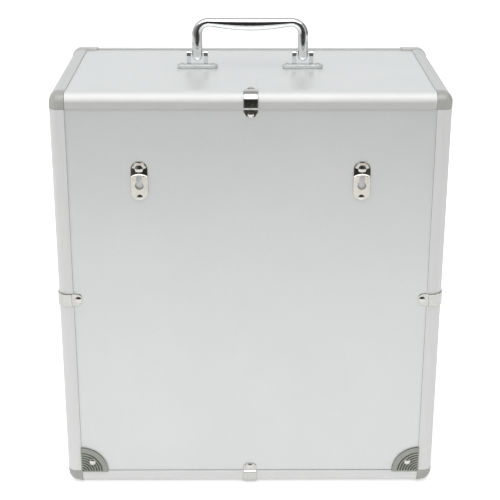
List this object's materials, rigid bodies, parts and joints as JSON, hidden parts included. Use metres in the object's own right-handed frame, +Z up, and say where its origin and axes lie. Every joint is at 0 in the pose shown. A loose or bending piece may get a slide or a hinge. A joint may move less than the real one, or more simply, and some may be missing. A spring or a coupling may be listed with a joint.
{
  "type": "phone storage case",
  "caption": "Wall-hung phone storage case: silver panels in aluminium edge profiles, grey corners, folding top handle, keyhole hangers, hinged clear door with latches over a grid of slots.",
  "frame": {"origin": "on the surface that the case stands on, under the middle of the whole object", "axes": "+Z up, -Y out of the pictured rear face with its keyhole plates, +Y out of the clear door, +X to the right in the picture"},
  "size_m": [0.3848, 0.2268, 0.4682],
  "materials": {
    "laminate": "satin silver laminate on board",
    "profile": "satin anodised",
    "corner": "moulded grey",
    "fan": "moulded mid grey",
    "nickel": "nickel plated steel",
    "chrome": "bright chrome",
    "board": "black fibre board",
    "acrylic": "clear",
    "brass": "satin"
  },
  "bodies": {
    "case": {"back_panel": "laminate", "left_panel": "laminate", "right_panel": "laminate", "bottom_panel": "laminate", "top_panel": "laminate", "rear_top_profile": "profile", "rear_bottom_profile": "profile", "rear_left_profile": "profile", "rear_right_profile": "profile", "front_top_profile": "profile", "front_bottom_profile": "profile", "front_left_profile": "profile", "front_right_profile": "profile", "top_left_profile": "profile", "bottom_left_profile": "profile", "top_right_profile": "profile", "bottom_right_profile": "profile", "rear_top_left_cap": "corner", "front_top_left_cap": "corner", "rear_top_right_cap": "corner", "front_top_right_cap": "corner", "rear_bottom_left_cap": "corner", "front_bottom_left_cap": "corner", "rear_bottom_right_cap": "corner", "front_bottom_right_cap": "corner", "left_fan_plate": "fan", "right_fan_plate": "fan", "top_edge_clip": "nickel", "bottom_edge_clip": "nickel", "left_edge_clip": "nickel", "right_edge_clip": "nickel", "left_keyhole_plate": "nickel", "right_keyhole_plate": "nickel", "left_handle_bracket": "chrome", "right_handle_bracket": "chrome", "shelf_1": "board", "shelf_2": "board", "shelf_3": "board", "divider_1": "board", "divider_2": "board", "divider_3": "board", "divider_4": "board", "hinge_case_leaf": "nickel", "upper_latch_catch": "nickel", "lower_latch_catch": "nickel"},
    "handle": {"handle_bail": "chrome"},
    "door": {"door_latch_rail": "profile", "door_hinge_rail": "profile", "door_bottom_rail": "profile", "door_top_rail": "profile", "door_pane": "acrylic", "hinge_door_leaf": "nickel", "upper_latch_base": "nickel", "lower_latch_base": "nickel"},
    "upper_lever": {"upper_latch_lever": "nickel"},
    "upper_claw": {"upper_latch_claw": "nickel"},
    "upper_lock": {"upper_lock_cylinder": "brass"},
    "lower_lever": {"lower_latch_lever": "nickel"},
    "lower_claw": {"lower_latch_claw": "nickel"},
    "lower_lock": {"lower_lock_cylinder": "brass"}
  },
  "joints": [
    {"name": "door_hinge", "type": "hinge", "parent": "case", "child": "door", "pos_m": [0.1685, 0.10765, 0.2099], "axis": [0, 0, -1], "range_deg": [0, 170]},
    {"name": "handle_fold", "type": "hinge", "parent": "case", "child": "handle", "pos_m": [0, 0.00335, 0.4323], "axis": [1, 0, 0], "range_deg": [-90, 90]},
    {"name": "upper_lever_lift", "type": "hinge", "parent": "door", "child": "upper_lever", "pos_m": [-0.159, 0.10985, 0.3199], "axis": [0, 0, 1], "range_deg": [0, 110]},
    {"name": "upper_claw_turn", "type": "hinge", "parent": "upper_lever", "child": "upper_claw", "pos_m": [-0.15605, 0.10933, 0.3199], "axis": [0, 0, 1], "range_deg": [-110, 0]},
    {"name": "upper_lock_turn", "type": "hinge", "parent": "upper_lever", "child": "upper_lock", "pos_m": [-0.147, 0.11075, 0.3199], "axis": [0, -1, 0], "range_deg": [0, 90]},
    {"name": "lower_lever_lift", "type": "hinge", "parent": "door", "child": "lower_lever", "pos_m": [-0.159, 0.10985, 0.0999], "axis": [0, 0, 1], "range_deg": [0, 110]},
    {"name": "lower_claw_turn", "type": "hinge", "parent": "lower_lever", "child": "lower_claw", "pos_m": [-0.15605, 0.10933, 0.0999], "axis": [0, 0, 1], "range_deg": [-110, 0]},
    {"name": "lower_lock_turn", "type": "hinge", "parent": "lower_lever", "child": "lower_lock", "pos_m": [-0.147, 0.11075, 0.0999], "axis": [0, -1, 0], "range_deg": [0, 90]}
  ],
  "couplings": [
    {"joint": "upper_claw_turn", "follows": "upper_lever_lift", "ratio": -1},
    {"joint": "lower_claw_turn", "follows": "lower_lever_lift", "ratio": -1}
  ]
}
